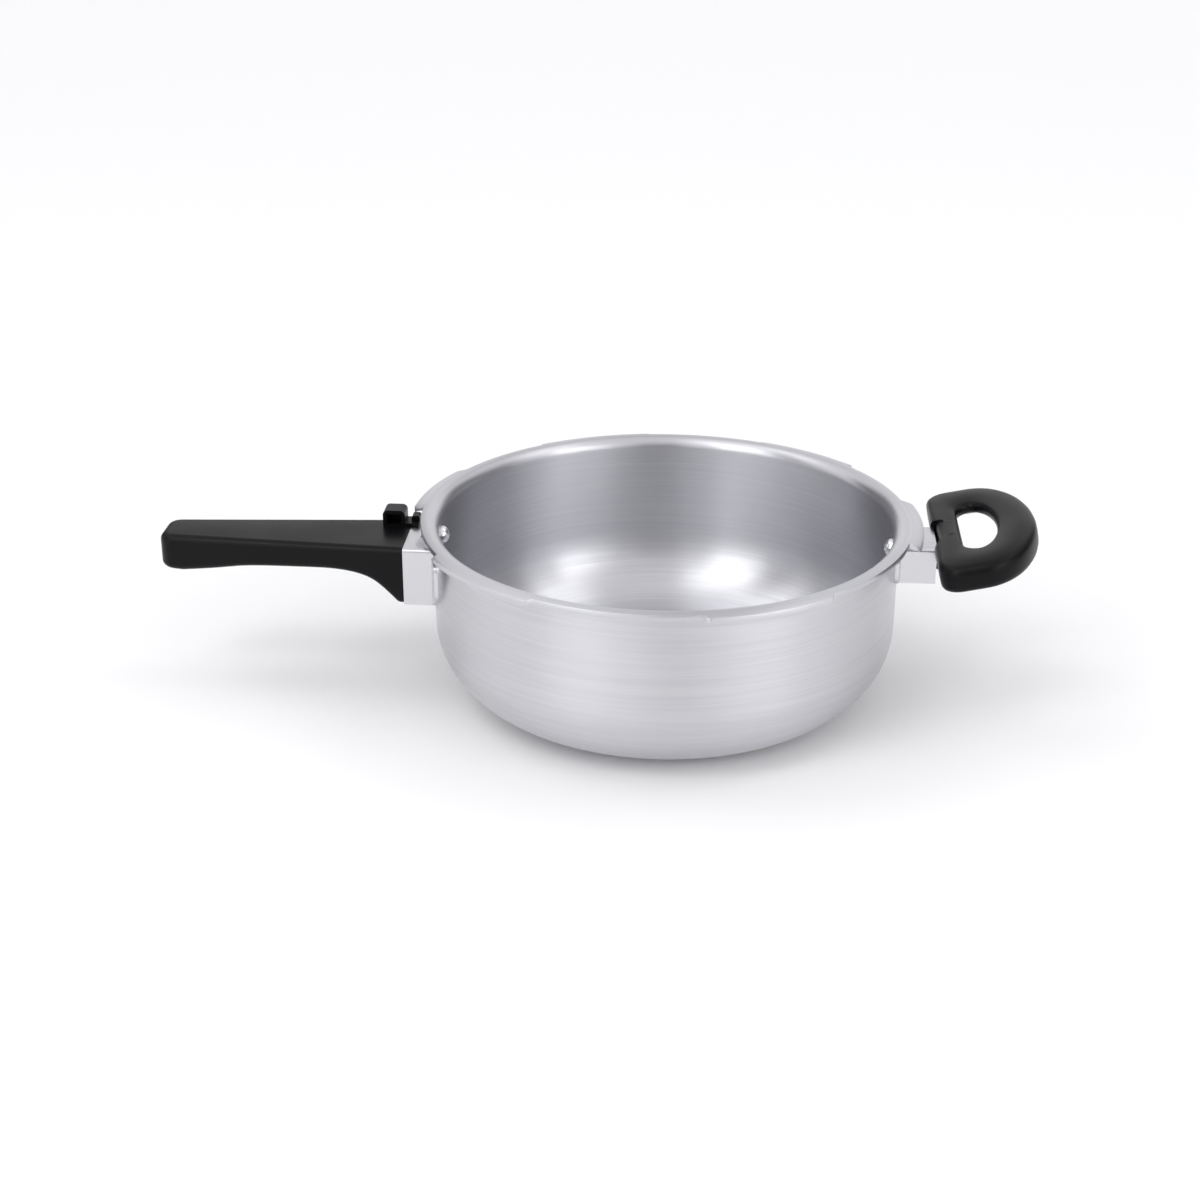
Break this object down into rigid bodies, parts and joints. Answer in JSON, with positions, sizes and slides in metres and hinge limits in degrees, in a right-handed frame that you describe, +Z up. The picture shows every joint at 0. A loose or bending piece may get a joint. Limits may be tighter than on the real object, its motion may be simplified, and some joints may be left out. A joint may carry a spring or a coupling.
{
  "type": "stovetop pressure cooker pan",
  "caption": "Lidless round pan of a stovetop pressure cooker, with a bayonet rim, a long side handle and a looped helper handle on riveted sheet brackets.",
  "frame": {"origin": "centre of the flat base, where the pan rests on the stove", "axes": "+Z up along the pan's axis, -X along the long handle, +X towards the helper handle"},
  "size_m": [0.4175, 0.2368, 0.0945],
  "materials": {
    "pan_aluminium": "pressed aluminium, spun-brushed all round inside and out",
    "bracket_steel": "bright folded sheet steel, lightly brushed",
    "rivet_aluminium": "smooth headed aluminium rivet",
    "handle_phenolic": "black compression-moulded phenolic, satin",
    "screw_steel": "zinc-plated steel fastener"
  },
  "bodies": {
    "root": {"pan_body": "pan_aluminium", "long_handle_bracket": "bracket_steel", "helper_handle_bracket": "bracket_steel", "long_bracket_upper_rivet": "rivet_aluminium", "long_bracket_lower_rivet": "rivet_aluminium", "helper_bracket_rivet": "rivet_aluminium", "long_handle": "handle_phenolic", "helper_handle": "handle_phenolic", "long_handle_screw": "screw_steel", "long_handle_washer": "screw_steel", "long_handle_spring_washer": "screw_steel", "long_handle_nut": "screw_steel", "helper_handle_screw": "screw_steel", "helper_handle_washer": "screw_steel", "helper_handle_spring_washer": "screw_steel", "helper_handle_nut": "screw_steel"}
  },
  "joints": []
}
